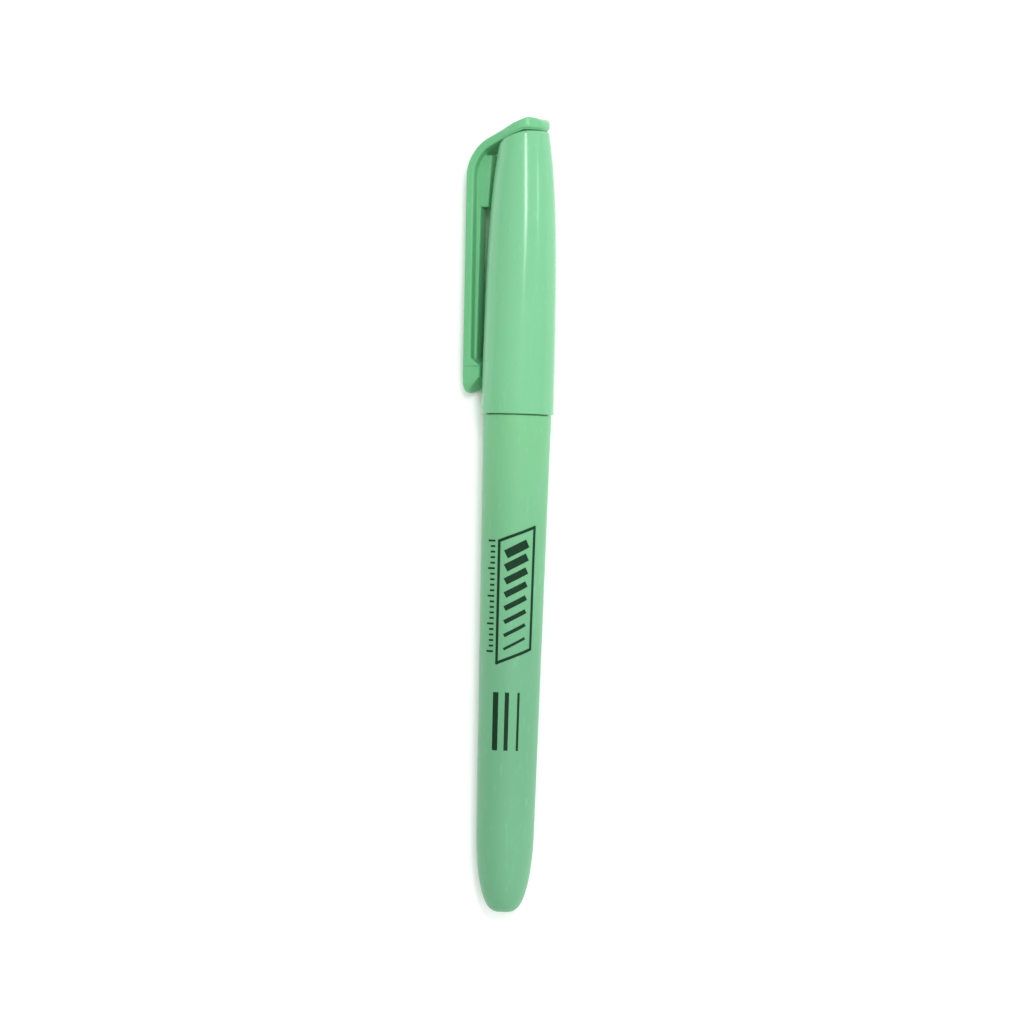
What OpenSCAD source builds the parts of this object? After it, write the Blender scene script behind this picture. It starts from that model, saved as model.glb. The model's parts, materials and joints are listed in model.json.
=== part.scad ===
// Pocket highlighter with a push-on cap and a sprung pocket clip, in millimetres.
// Each sub-part is drawn upright in pen coordinates: z runs up the pen's axis from the tail's
// flat end, and x points at the clip. lay_down() then lays the pen on its side, as it rests on
// a desk: +Z is up, the cap lies towards -X, and the clip points towards -Y and down.

/* [Whole pen] */
// Length from the tail's flat end to the highest point of the clip's roof
pen_len = 137; // [132:1:145]
// Length from the cap's mouth to the highest point of the clip's roof
cap_len = 51.1; // [50:0.1:53]
// How far the clip is rolled below the level of the pen's axis
roll = 28; // [20:1:35]

/* [Barrel] */
// Radius where the barrel meets the cap's mouth
barrel_r = 5.86; // [5.8:0.01:6.1]
// Radius that the barrel's taper would reach at the tail if the tail weren't rounded
tail_r = 4.8; // [4.7:0.05:5.2]
// Length of the rounded tail
tail_len = 14; // [12:0.5:18]
// Depth cut off the rounded tail, which leaves its flat end
tail_cut = 0.12; // [0.05:0.01:0.3]
// Length of the slimmer neck that the cap slides over
neck_len = 6.3; // [6:0.1:6.5]

/* [Cap] */
// Radius of the cap at its mouth
cap_mouth_r = 6.3; // [6.3:0.05:6.6]
// How much the cap's radius shrinks evenly from mouth to top
cap_taper = 0.4; // [0.3:0.05:0.45]
// How much the cap's radius shrinks in the rounded nose, on top of its even taper
cap_nose = 1.8; // [1.75:0.05:1.85]
// Thickness of the cap's wall above the mouth
cap_wall = 0.95; // [0.9:0.01:1]

/* [Clip] */
// Distance from the pen's axis to the clip's outermost face
clip_reach = 10.12; // [10:0.01:10.6]
// Width of the clip's strap
strap_w = 5; // [4.5:0.1:5.6]
// Thickness of the roof and of the strap
strap_t = 1.5; // [1.4:0.05:1.6]
// How steeply the roof slopes down towards the clip
roof_pitch = 24; // [23:0.5:25]
// Outer bend radius of the clip's shoulder
shoulder_r = 7; // [6.8:0.1:7]
// Distance from the cap's mouth line up to the clip's tip
tip_gap = 3.4; // [3:0.1:5]
// Corner radius of the tip seen from the front
tip_round = 2.4; // [1.8:0.1:2.4]
// Width of the stiffening rib along the strap's inner side
rib_w = 2; // [1.6:0.1:2.4]

/* [Writing end] */
// Radius of the felt nib
nib_r = 1.98; // [1.8:0.01:1.98]
// How far the nib stands out of its holder
nib_out = 6.5; // [5:0.1:6.6]
// Thickness of the chisel's edge
nib_edge = 1.1; // [0.8:0.1:1.6]
// Radius of the ink reservoir
reservoir_r = 3.48; // [3.3:0.01:3.48]

/* [Hidden] */
$fn = 96;

// Colours
pastel = "#8cd9a1";
pastel_deep = "#7fca95";
natural = "#eef0ea";
ink_green = "#5fc486";
fibre = "#cfe8b4";
film = "#f4f6f2";

// Heights along the pen's axis
z_mouth = pen_len - cap_len;
z_shoulder = z_mouth - 0.2;
z_neck_end = z_shoulder + neck_len;
z_cap_top = pen_len - 2.15;
z_seat_end = z_mouth + 11.9;
z_cap_ceiling = pen_len - 7.5;
z_holder_tip = z_neck_end + 17;
z_nib_tip = z_holder_tip + nib_out;
z_inner_lip = z_neck_end + 2;
z_inner_end = pen_len - 14.5;
barrel_floor = 8;
reservoir_foot = barrel_floor + 1.5;
plug_len = 10;
reservoir_end = z_neck_end - 3.8;
stem_depth = 7.7;

// Radii and clearances
fit = 0.05;
neck_r = cap_mouth_r - 1.1;
seat_r = neck_r + 2 * fit;
bead_r = neck_r + 0.06;
bead_up = 2.9;
groove_r = seat_r + 0.05;
plug_bore_r = 4.45;
plug_r = plug_bore_r - 0.02;
bore_tail_r = 3.75;
bore_mouth_r = 4.1;
film_t = 0.08;
film_r = reservoir_r + 0.02;
holder_seal_r = 4.6;
holder_cone_r = 3.5;
holder_tip_r = 2.9;
holder_bore_r = nib_r + 0.04;
inner_cap_r = 4.4;
inner_bore_r = 3.65;
inner_lip_r = seat_r - fit;
rib_edge_r = inner_cap_r + fit;
collar_r = 3.86;
socket_r = 2.4;
clip_plug_r = socket_r - 0.03;

// Clip geometry in side view: x towards the clip, y up the pen's axis
crown_x = -2;
roof_r = 4.2;
crown_r = 1.7;
flare_w = 2 * roof_r - 0.5;
slope = tan(roof_pitch);
hinge_x = 5.4;
hinge_r = strap_t / 2;
hinge_gap = 0.12;
bend_x = clip_reach - shoulder_r;
bend_z = roof_top(bend_x) - shoulder_r / cos(roof_pitch);
strap_in = clip_reach - strap_t;
strap_lean = 0.4;
z_tip = z_mouth + tip_gap;
boss_in = cap_mouth_r + 0.15;
tip_edge_r = 0.4;
boss_foot = 2.9;
rib_in = strap_in - 0.79;
z_web_top = pen_len - 6.3;
z_web_end = pen_len - 15.3;
cap_slope_x = -1.42;
hinge = [hinge_x, roof_top(hinge_x) - strap_t / cos(roof_pitch) / 2];

// Placement of the lying pen
axis_height = clip_reach * sin(roll) + strap_w / 2 * cos(roll);
side_shift = (clip_reach * cos(roll) + strap_w / 2 * sin(roll) - cap_mouth_r) / 2;

function roof_top(x) = pen_len - (x - crown_x) * slope;
function roof_under(x) = roof_top(x) - strap_t / cos(roof_pitch);
function tail_shape(z) = pow(1 - pow(max(0, 1 - (z + tail_cut) / tail_len), 2), 0.3);
function barrel_radius(z) = (tail_r + (barrel_r - tail_r) * z / z_shoulder) * tail_shape(z);
function cap_share(z) = (z - z_mouth) / (z_cap_top - z_mouth);
function cap_radius(z) = cap_mouth_r - cap_taper * cap_share(z) - cap_nose * pow(cap_share(z), 4.5);
function arc(centre, r, from, to, steps) = [
    for (i = [0 : steps]) centre + r * [cos(from + (to - from) * i / steps), sin(from + (to - from) * i / steps)]
];

// Lays an upright piece on its side in the part's frame
module lay_down() {
    translate([pen_len / 2, side_shift, axis_height])
        rotate([90 + roll, 0, 0])
            rotate([0, -90, 0])
                children();
}

// Extrudes a side view across the pen, half of the width on each side of the axis
module side(width) {
    rotate([90, 0, 0])
        linear_extrude(width, center = true)
            children();
}

// Outline of the clip moulding seen along the pen's axis: a disc that narrows to the strap
module clip_plan() {
    translate([0, 0, z_mouth])
        linear_extrude(cap_len + 1)
            union() {
                circle(roof_r);
                polygon([
                    [0, -flare_w / 2], [strap_in, -strap_w / 2], [clip_reach + 1, -strap_w / 2],
                    [clip_reach + 1, strap_w / 2], [strap_in, strap_w / 2], [0, flare_w / 2],
                ]);
            }
}

// Outline of the strap seen from the front, with rounded corners at its tip
module strap_front() {
    corner_y = strap_w / 2 - tip_round;
    rotate([90, 0, 90])
        linear_extrude(clip_reach + 1)
            polygon(concat(
                arc([corner_y, z_tip + tip_round], tip_round, 0, -90, 12),
                arc([-corner_y, z_tip + tip_round], tip_round, -90, -180, 12),
                [[-strap_w / 2, bend_z + 1], [strap_w / 2, bend_z + 1]]
            ));
}

// Side view of the space above the cap's own top, level at first and then sloping to the clip
module above_cap_top() {
    polygon([
        [-10, z_cap_top], [cap_slope_x, z_cap_top], [12, z_cap_top - (12 - cap_slope_x) * slope],
        [12, pen_len + 5], [-10, pen_len + 5],
    ]);
}

// Long tube with a closed round tail, a neck for the cap and ribs that centre the reservoir
module barrel() {
    tail_steps = 14;
    rib_in_r = film_r + film_t + 0.02;
    color(pastel_deep)
        lay_down() {
            rotate_extrude()
                polygon(concat(
                    [[0, 0]],
                    [for (i = [0 : tail_steps]) let (z = tail_len * pow(i / tail_steps, 2)) [barrel_radius(z), z]],
                    [
                        [barrel_r, z_shoulder],
                        [neck_r, z_shoulder],
                        [neck_r, z_shoulder + bead_up - 0.6],
                        [bead_r, z_shoulder + bead_up - 0.3],
                        [bead_r, z_shoulder + bead_up + 0.3],
                        [neck_r, z_shoulder + bead_up + 0.6],
                        [neck_r, z_neck_end],
                        [plug_bore_r, z_neck_end],
                        [plug_bore_r, z_neck_end - plug_len - 0.5],
                        [bore_mouth_r, z_neck_end - plug_len - 0.5],
                        [bore_tail_r, barrel_floor],
                        [0, barrel_floor],
                    ]
                ));
            for (a = [45 : 90 : 315])
                rotate(a)
                    translate([rib_in_r, -0.3, barrel_floor - 0.5])
                        cube([bore_mouth_r + 0.1 - rib_in_r, 0.6, z_neck_end - plug_len - 12]);
            for (a = [0, 90])
                rotate(a)
                    translate([-bore_tail_r - 0.1, -0.3, barrel_floor - 0.5])
                        cube([2 * bore_tail_r + 0.2, 0.6, reservoir_foot - barrel_floor + 0.5]);
        }
}

// Front section pressed into the barrel's mouth: plug, flange, seal seat and nose round the nib
module nib_holder() {
    z_flange = z_neck_end;
    hollow_end = reservoir_end + 0.4;
    color(pastel)
        lay_down()
            difference() {
                rotate_extrude()
                    polygon([
                        [film_r + film_t + 0.12, z_flange - plug_len],
                        [plug_r - 0.2, z_flange - plug_len],
                        [plug_r, z_flange - plug_len + 0.6],
                        [plug_r, z_flange],
                        [neck_r - 0.02, z_flange],
                        [neck_r - 0.02, z_flange + 1],
                        [neck_r - 0.22, z_flange + 1.2],
                        [holder_seal_r, z_flange + 1.2],
                        [holder_seal_r, z_flange + 4.4],
                        [holder_cone_r, z_flange + 5.4],
                        [holder_tip_r, z_holder_tip - 0.4],
                        [holder_tip_r - 0.3, z_holder_tip],
                        [holder_bore_r, z_holder_tip],
                        [holder_bore_r, hollow_end],
                        [film_r + film_t + 0.12, hollow_end],
                    ]);
                for (a = [0 : 120 : 240])
                    rotate(a)
                        translate([holder_bore_r - 0.3, -0.3, hollow_end - 0.5])
                            cube([0.6, 0.6, z_holder_tip - hollow_end + 1]);
            }
}

// Bonded-fibre nib: a round stem with a slanted chisel at its end
module nib() {
    z_foot = reservoir_end - stem_depth;
    z_wedge = z_nib_tip - nib_out + 1;
    z_low_corner = z_nib_tip - 3;
    color(ink_green)
        lay_down()
            intersection() {
                translate([0, 0, z_foot])
                    cylinder(r = nib_r, h = z_nib_tip - z_foot);
                side(2 * nib_r + 1)
                    polygon([
                        [-nib_r - 1, z_foot - 1], [nib_r + 1, z_foot - 1], [nib_r + 1, z_low_corner],
                        [nib_r, z_low_corner], [-nib_r + 0.5, z_nib_tip], [-nib_r - 1, z_nib_tip],
                    ]);
                rotate(90)
                    side(2 * nib_r + 1)
                        polygon([
                            [-nib_r - 1, z_foot - 1], [nib_r + 1, z_foot - 1], [nib_r + 1, z_wedge],
                            [nib_r, z_wedge], [nib_edge / 2, z_nib_tip], [-nib_edge / 2, z_nib_tip],
                            [-nib_r, z_wedge], [-nib_r - 1, z_wedge],
                        ]);
            }
}

// Fibre core that holds the ink, with the nib's stem pushed into its front end
module reservoir() {
    color(fibre)
        lay_down()
            difference() {
                translate([0, 0, reservoir_foot])
                    cylinder(r = reservoir_r, h = reservoir_end - reservoir_foot);
                translate([0, 0, reservoir_end - stem_depth])
                    cylinder(r = nib_r + 0.02, h = stem_depth + 1);
            }
}

// Thin plastic wrap round the fibre core
module reservoir_film() {
    inset = 0.3;
    color(film)
        lay_down()
            translate([0, 0, reservoir_foot + inset])
                difference() {
                    cylinder(r = film_r + film_t, h = reservoir_end - reservoir_foot - 2 * inset);
                    translate([0, 0, -1])
                        cylinder(r = film_r, h = reservoir_end - reservoir_foot + 2);
                }
}

// Sealing cup inside the cap: its lip closes round the nib holder's seat
module inner_cap() {
    end_wall = 0.9;
    z_lip_end = z_inner_lip + 3.4;
    color(natural)
        lay_down()
            rotate_extrude()
                polygon([
                    [holder_seal_r + fit + 0.15, z_inner_lip],
                    [inner_lip_r, z_inner_lip],
                    [inner_lip_r, z_lip_end],
                    [inner_cap_r, z_lip_end + 2],
                    [inner_cap_r, z_inner_end - 0.5],
                    [inner_cap_r - 0.5, z_inner_end],
                    [0, z_inner_end],
                    [0, z_inner_end - end_wall],
                    [inner_bore_r - 0.3, z_inner_end - end_wall],
                    [inner_bore_r, z_inner_end - end_wall - 0.3],
                    [inner_bore_r, z_lip_end + 0.8],
                    [holder_seal_r + fit, z_lip_end - 0.5],
                    [holder_seal_r + fit, z_inner_lip + 0.3],
                ]);
}

// Bullet-shaped cap: seat for the barrel's neck, ribs round the inner cap, socket for the clip
module cap_shell() {
    wall_steps = 12;
    z_round = z_cap_top - 0.4;
    nose_span = z_cap_ceiling - z_seat_end;
    rib_from = z_seat_end + 2.2;
    color(pastel)
        lay_down()
            difference() {
                union() {
                    rotate_extrude()
                        polygon(concat(
                            [[cap_mouth_r - 0.15, z_mouth], [cap_mouth_r, z_mouth + 0.15]],
                            [for (i = [1 : wall_steps]) let (z = z_mouth + (z_round - z_mouth) * sqrt(i / wall_steps))
                                [cap_radius(z), z]],
                            [
                                [cap_radius(z_cap_top) - 0.35, z_cap_top],
                                [socket_r, z_cap_top],
                                [socket_r, z_cap_ceiling],
                            ],
                            [for (i = [0 : wall_steps]) let (z = z_cap_ceiling - nose_span * i / wall_steps)
                                [cap_radius(z) - cap_wall, z]],
                            [
                                [seat_r, z_seat_end],
                                [seat_r, z_shoulder + bead_up + 0.8],
                                [groove_r, z_shoulder + bead_up + 0.5],
                                [groove_r, z_shoulder + bead_up - 0.5],
                                [seat_r, z_shoulder + bead_up - 0.8],
                                [seat_r, z_mouth + 0.2],
                                [seat_r + 0.2, z_mouth],
                            ]
                        ));
                    for (a = [0 : 60 : 300])
                        rotate(a)
                            translate([rib_edge_r, -0.4, rib_from])
                                cube([0.9, 0.8, z_inner_end - rib_from]);
                }
                side(20)
                    above_cap_top();
            }
}

// Roof plate of the clip, with the collar and barbed plug that hold it in the cap's top
module clip_root() {
    end_x = crown_x - 0.5;
    color(pastel)
        lay_down() {
            difference() {
                intersection() {
                    side(3 * roof_r)
                        polygon(concat(
                            arc([crown_r - roof_r, pen_len - crown_r], crown_r, 180, 100, 6),
                            [
                                [crown_x, pen_len],
                                [hinge_x + 2, roof_top(hinge_x + 2)],
                                [hinge_x + 2, roof_under(hinge_x + 2)],
                                [crown_x + 0.6, roof_under(crown_x + 0.6)],
                                [0.3 - roof_r, roof_under(crown_x + 0.6)],
                            ]
                        ));
                    clip_plan();
                }
                side(4 * roof_r)
                    translate(hinge) {
                        circle(hinge_r + fit);
                        rotate(-roof_pitch)
                            translate([-hinge_gap, -5])
                                square(10);
                    }
            }
            intersection() {
                translate([0, 0, z_cap_top - 4])
                    cylinder(r = collar_r, h = 8);
                side(3 * roof_r)
                    polygon([
                        [-roof_r, z_cap_top], [cap_slope_x, z_cap_top],
                        [roof_r, z_cap_top - (roof_r - cap_slope_x) * slope],
                        [roof_r, roof_under(roof_r) + 0.4], [end_x + 1, roof_under(end_x + 1) + 0.4],
                        [-roof_r, roof_under(end_x + 1) + 0.4],
                    ]);
            }
            translate([0, 0, z_cap_ceiling - 0.5])
                cylinder(r = clip_plug_r, h = z_cap_top - z_cap_ceiling + 0.7 - clip_plug_r * slope);
            translate([0, 0, z_cap_ceiling - 1.2])
                cylinder(r1 = clip_plug_r - 0.2, r2 = socket_r + 0.2, h = 1.1);
        }
}

// Free part of the clip: shoulder, strap, rib and web on its inner side, and the gripping boss
module clip_arm() {
    lean = [-strap_lean, 0];
    bend = [bend_x, bend_z];
    tip = [clip_reach - tip_edge_r, z_tip + tip_edge_r] + lean;
    color(pastel)
        lay_down() {
            intersection() {
                side(3 * roof_r)
                    polygon(concat(
                        arc(hinge, hinge_r, 270 - roof_pitch, 90 - roof_pitch, 8),
                        arc(bend, shoulder_r, 90 - roof_pitch, 0, 8),
                        [[clip_reach - 0.05, bend_z - 4], [strap_in - 0.05, bend_z - 4]],
                        arc(bend, shoulder_r - strap_t, 0, 90 - roof_pitch, 6)
                    ));
                clip_plan();
            }
            intersection() {
                side(strap_w)
                    polygon(concat(
                        [
                            [clip_reach, bend_z],
                            [strap_in, bend_z],
                            [strap_in, z_tip + 6.2] + lean,
                            [boss_in, z_tip + 5],
                            [boss_in, z_tip + boss_foot],
                        ],
                        arc(tip, tip_edge_r, 225, 360, 8)
                    ));
                strap_front();
            }
            side(rib_w)
                polygon([
                    [strap_in + 0.2, z_web_top], [hinge_x + 0.5, z_web_top], [hinge_x + 1, z_web_end],
                    [rib_in, z_web_end], [rib_in, z_tip + 4.6], [strap_in + 0.2, z_tip + 4.6],
                ]);
        }
}

barrel();
nib_holder();
nib();
reservoir();
reservoir_film();
inner_cap();
cap_shell();
clip_root();
clip_arm();
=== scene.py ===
"""Push-cap highlighter: the visible pen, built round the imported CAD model.

Every piece is drawn in pen coordinates, in millimetres: z runs up the pen's axis from the tail's
flat end, u points at the clip and w is square to both. PLACE lays a point where the CAD pen lies.
"""
import json
import math

import bmesh
import bpy
import numpy as np
from mathutils import Matrix, Vector


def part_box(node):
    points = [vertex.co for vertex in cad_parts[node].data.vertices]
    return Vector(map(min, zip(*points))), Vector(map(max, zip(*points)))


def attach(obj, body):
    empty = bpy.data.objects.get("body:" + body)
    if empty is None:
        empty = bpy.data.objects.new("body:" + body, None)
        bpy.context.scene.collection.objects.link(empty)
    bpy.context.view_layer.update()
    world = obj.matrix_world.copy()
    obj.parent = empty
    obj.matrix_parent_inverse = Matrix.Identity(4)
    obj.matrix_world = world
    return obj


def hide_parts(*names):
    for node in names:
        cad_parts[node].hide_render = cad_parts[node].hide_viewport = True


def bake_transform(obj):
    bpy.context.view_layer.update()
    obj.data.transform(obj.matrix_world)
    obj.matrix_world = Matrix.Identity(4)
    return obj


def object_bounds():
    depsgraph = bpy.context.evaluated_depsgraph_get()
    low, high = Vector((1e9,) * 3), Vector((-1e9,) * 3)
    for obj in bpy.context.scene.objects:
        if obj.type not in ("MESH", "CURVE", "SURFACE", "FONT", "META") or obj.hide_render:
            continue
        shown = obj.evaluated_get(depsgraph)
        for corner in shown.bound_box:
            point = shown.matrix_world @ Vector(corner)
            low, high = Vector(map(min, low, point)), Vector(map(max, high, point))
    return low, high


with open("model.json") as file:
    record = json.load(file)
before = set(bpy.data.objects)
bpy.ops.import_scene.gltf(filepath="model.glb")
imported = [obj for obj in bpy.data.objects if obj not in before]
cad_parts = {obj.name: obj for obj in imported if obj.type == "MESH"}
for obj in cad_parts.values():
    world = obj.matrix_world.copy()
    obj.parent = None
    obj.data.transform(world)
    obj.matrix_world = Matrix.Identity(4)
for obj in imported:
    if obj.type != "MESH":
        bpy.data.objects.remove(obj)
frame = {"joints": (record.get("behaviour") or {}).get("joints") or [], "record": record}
cad_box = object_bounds()

# ---------------------------------------------------------------- placement, from the frame
MM = 0.001
MOUNTS = {mount["name"]: mount for mount in frame["record"]["mounts"]}
JOINTS = {joint["name"]: joint for joint in frame["joints"]}
TAIL = Vector(MOUNTS["tail_end"]["pos_m"])
Z_DIR = -Vector(MOUNTS["tail_end"]["axis"])
W_DIR = -Vector(JOINTS["clip_flex"]["axis"]).normalized()
U_DIR = W_DIR.cross(Z_DIR)
TURN = Matrix((U_DIR, W_DIR, Z_DIR)).transposed().to_4x4()
PLACE = Matrix.Translation(TAIL) @ TURN @ Matrix.Scale(MM, 4)
TOP_ANGLE = math.atan2(W_DIR.z, U_DIR.z)  # where the lying pen's uppermost line is, measured from u


def span(node):
    """Where a CAD node begins and ends along the pen's axis, in millimetres."""
    low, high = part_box(node)
    return (TAIL.x - high.x) / MM, (TAIL.x - low.x) / MM


def radius(node):
    """Largest radius of a round CAD node, in millimetres."""
    low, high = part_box(node)
    return (high.y - low.y) / 2 / MM


# ---------------------------------------------------------------- sizes, in millimetres
PEN_LEN = (TAIL.x - cad_box[0].x) / MM
Z_MOUTH, Z_CAP_TOP = span("cap_shell")
Z_NECK_END = span("barrel")[1]
Z_HOLDER_FOOT, Z_HOLDER_TIP = span("nib_holder")
Z_NIB_FOOT, Z_NIB_TIP = span("nib")
Z_CORE_FOOT, Z_CORE_END = span("reservoir")
Z_FILM_FOOT, Z_FILM_END = span("reservoir_film")
Z_INNER_LIP, Z_INNER_END = span("inner_cap")
Z_CLIP_TIP = span("clip_arm")[0]
CAP_MOUTH_R = radius("cap_shell")
BARREL_R = radius("barrel")
INNER_LIP_R = radius("inner_cap")
NIB_R = radius("nib")
CORE_R = radius("reservoir")
FILM_R = radius("reservoir_film")
FIT = 0.02  # gap between a pressed-in piece and its neighbour
NECK_R = radius("nib_holder") + FIT

# barrel
Z_SHOULDER = Z_MOUTH - 0.2  # step from the wall to the neck
Z_BEAD = Z_SHOULDER + 2.9  # middle of the snap bead on the neck
BEAD_R = NECK_R + 0.06
TAIL_R = 4.8  # what the straight taper would come down to at the end
TAIL_LEN = 14  # length of the rounding
TAIL_CUT = 0.12  # how much of the rounding is cut off, which leaves the flat end
PLUG_BORE_R = 4.45
PLUG_DEPTH = 10
BORE_MOUTH_R = 4.1
BORE_TAIL_R = 3.75
BARREL_FLOOR = 8

# writing end
HOLDER_SEAL_R = 4.6
HOLDER_CONE_R = 3.5
HOLDER_TIP_R = 2.9
HOLDER_BORE_R = NIB_R + 0.04
NIB_CHISEL_LEN = 5.5
NIB_SLANT = 3  # how much lower one side of the chisel is than the other
NIB_EDGE = 1.1  # thickness of the chisel at its end

# cap and inner cap
Z_SEAT_END = Z_MOUTH + 11.9  # end of the bore that fits round the neck
Z_CEILING = PEN_LEN - 7.5
CAP_TAPER = 0.4  # radius lost evenly along the cap
CAP_NOSE = 1.8  # radius lost to the rounded nose as well
CAP_WALL = 0.95
CAP_SLOPE_U = -1.42  # where the level part of the cap's top ends
CAP_RIB_R = 4.45
SEAT_R = NECK_R + 0.1
GROOVE_R = SEAT_R + 0.05
SOCKET_R = 2.4
INNER_CAP_R = 4.4
INNER_BORE_R = 3.65

# clip
ROOF_PITCH = math.radians(24)
SLOPE = math.tan(ROOF_PITCH)
ROOF_R = 4.2
ROOF_T = 1.5
CROWN_U = -2  # where the level part of the roof ends
CROWN_R = 1.7  # rounding of the roof's back edge
SHOULDER_R = 7
REACH = 10.12  # from the pen's axis to the strap's outer face
STRAP_W = 5
STRAP_T = 1.5
STRAP_LEAN = 0.4  # how much nearer to the axis the strap is at its tip
TIP_ROUND = 2.4  # rounding of the tip's two corners
TIP_EDGE_R = 0.4  # rounding of its outer edge
BOSS_IN = CAP_MOUTH_R + 0.15
BOSS_FOOT = 2.9  # height above the tip at which the boss's inner face begins
RIB_W = 2
EDGE = 0.36  # rounding of the moulding's edges
WEB_IN = 5.9
WEB_TOP = PEN_LEN - 6.3
WEB_END = PEN_LEN - 15.3
COLLAR_R = 3.86


def barrel_radius(z):
    """Outer radius of the barrel: a straight taper, closed by a rounded tail."""
    taper = TAIL_R + (BARREL_R - TAIL_R) * z / Z_SHOULDER
    share = max(0, 1 - (z + TAIL_CUT) / TAIL_LEN)
    return taper * (1 - share**2) ** 0.3


def cap_radius(z):
    """Outer radius of the cap: an even taper with a rounded nose on top of it."""
    share = (z - Z_MOUTH) / (Z_CAP_TOP - Z_MOUTH)
    return CAP_MOUTH_R - CAP_TAPER * share - CAP_NOSE * share**4.5


def cap_top(u):
    """Height of the cap's top: level behind, then sloping down towards the clip."""
    past = u - CAP_SLOPE_U
    bend = 1.2
    return Z_CAP_TOP - SLOPE * ((past**2 + bend**2) ** 0.5 + past) / 2


def roof_top(u):
    """Height of the sloping top face of the clip's roof."""
    return PEN_LEN - (u - CROWN_U) * SLOPE


def roof_under(u):
    """Height of the sloping under face of the clip's roof."""
    return roof_top(u) - ROOF_T / math.cos(ROOF_PITCH)


# ---------------------------------------------------------------- mesh making
def rounded(outline):
    """A 2D outline whose corners given as (x, y, radius) are turned into arcs."""
    steps = 4
    points = []
    for i, (x, y, *corner) in enumerate(outline):
        here = Vector((x, y))
        if not corner:
            points.append(here)
            continue
        back = (Vector(outline[i - 1][:2]) - here).normalized()
        ahead = (Vector(outline[(i + 1) % len(outline)][:2]) - here).normalized()
        half = back.angle(ahead) / 2
        centre = here + (back + ahead).normalized() * corner[0] / math.sin(half)
        first = here + back * corner[0] / math.tan(half) - centre
        last = here + ahead * corner[0] / math.tan(half) - centre
        points += [centre + corner[0] * first.slerp(last, k / steps) for k in range(steps + 1)]
    return points


def arc(centre, r, start, end, steps):
    """Points of an arc, its angles in degrees."""
    angles = [math.radians(start + (end - start) * i / steps) for i in range(steps + 1)]
    return [(centre[0] + r * math.cos(a), centre[1] + r * math.sin(a)) for a in angles]


def skin(rings, closed=False):
    """Points and faces of a surface through rings of points; a ring of one point is a pole."""
    points, faces, starts = [], [], []
    for ring in rings:
        starts.append(len(points))
        points += ring
    pairs = list(zip(range(len(rings)), range(1, len(rings))))
    if closed:
        pairs.append((len(rings) - 1, 0))
    for low, high in pairs:
        count = max(len(rings[low]), len(rings[high]))
        for i in range(count):
            j = (i + 1) % count
            a, b, c, d = starts[low] + i, starts[low] + j, starts[high] + j, starts[high] + i
            if len(rings[low]) == 1:
                faces.append((starts[low], c, d))
            elif len(rings[high]) == 1:
                faces.append((a, b, starts[high]))
            else:
                faces.append((a, b, c, d))
    return points, faces


def end_faces(first, last, count):
    """Quads closing both ends of a strip whose rings of count points go out and come back.

    first and last are the numbers of the first point in the first and in the last ring.
    """
    faces = []
    for i in range(count // 2 - 1):
        j = count - 1 - i
        faces.append((first + i, first + j, first + j - 1, first + i + 1))
        faces.append((last + i, last + i + 1, last + j - 1, last + j))
    return faces


def turned(outline_at, steps=180, closed=True):
    """A turned solid: outline_at(angle) is its half section as (radius, z) points, at each angle."""
    angles = [2 * math.pi * i / steps for i in range(steps)]
    sections = [outline_at(angle) for angle in angles]
    rings = []
    for k in range(len(sections[0])):
        if all(abs(section[k][0]) < 1e-6 for section in sections):
            rings.append([(0, 0, sections[0][k][1])])
        else:
            rings.append([
                (section[k][0] * math.cos(a), section[k][0] * math.sin(a), section[k][1])
                for a, section in zip(angles, sections)
            ])
    return skin(rings, closed)


def near_spoke(angle, count, first, half_width):
    """True where an angle in radians lies on one of count evenly spaced spokes.

    first is where one spoke is and half_width is half of each spoke's width, both in degrees.
    """
    step = 360 / count
    off = (math.degrees(angle) - first + step / 2) % step - step / 2
    return abs(off) <= half_width


def piece(name, shape, material, body, nodes=(), sharp=40):
    """A Blender mesh from (points, faces) in pen millimetres, welded, and riding on a CAD body."""
    points, faces = shape
    mesh = bpy.data.meshes.new(name)
    mesh.from_pydata([PLACE @ Vector(p) for p in points], [], faces)
    tidied = bmesh.new()
    tidied.from_mesh(mesh)
    bmesh.ops.remove_doubles(tidied, verts=tidied.verts, dist=1e-7)
    bmesh.ops.recalc_face_normals(tidied, faces=tidied.faces)
    tidied.to_mesh(mesh)
    tidied.free()
    mesh.materials.append(material)
    mesh.shade_smooth()
    mesh.set_sharp_from_angle(angle=math.radians(sharp))
    obj = bpy.data.objects.new(name, mesh)
    bpy.context.scene.collection.objects.link(obj)
    if nodes:
        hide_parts(*nodes)
    if body:
        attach(obj, body)
    return obj


# ---------------------------------------------------------------- signed distance shapes
def outline_distance(points, x, y):
    """Signed distance from (x, y) to a closed 2D outline, negative inside."""
    nearest = np.full(np.broadcast(x, y).shape, np.inf)
    inside = np.zeros(nearest.shape, bool)
    for (ax, ay), (bx, by) in zip(points, points[1:] + points[:1]):
        ex, ey = bx - ax, by - ay
        share = np.clip(((x - ax) * ex + (y - ay) * ey) / (ex**2 + ey**2), 0, 1)
        nearest = np.minimum(nearest, (x - ax - share * ex) ** 2 + (y - ay - share * ey) ** 2)
        if ay != by:
            inside ^= ((ay > y) != (by > y)) & (x < ex * (y - ay) / ey + ax)
    return np.where(inside, -1, 1) * np.sqrt(nearest)


def both(a, b, edge):
    """Where two shapes overlap, its edges rounded by the radius edge."""
    corner = np.hypot(np.maximum(a + edge, 0), np.maximum(b + edge, 0))
    return np.minimum(np.maximum(a, b), -edge) + corner


def either(a, b, fillet):
    """Two shapes joined, with a fillet along the inner corner."""
    corner = np.hypot(np.maximum(fillet - a, 0), np.maximum(fillet - b, 0))
    return np.maximum(np.minimum(a, b), fillet) - corner


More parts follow.
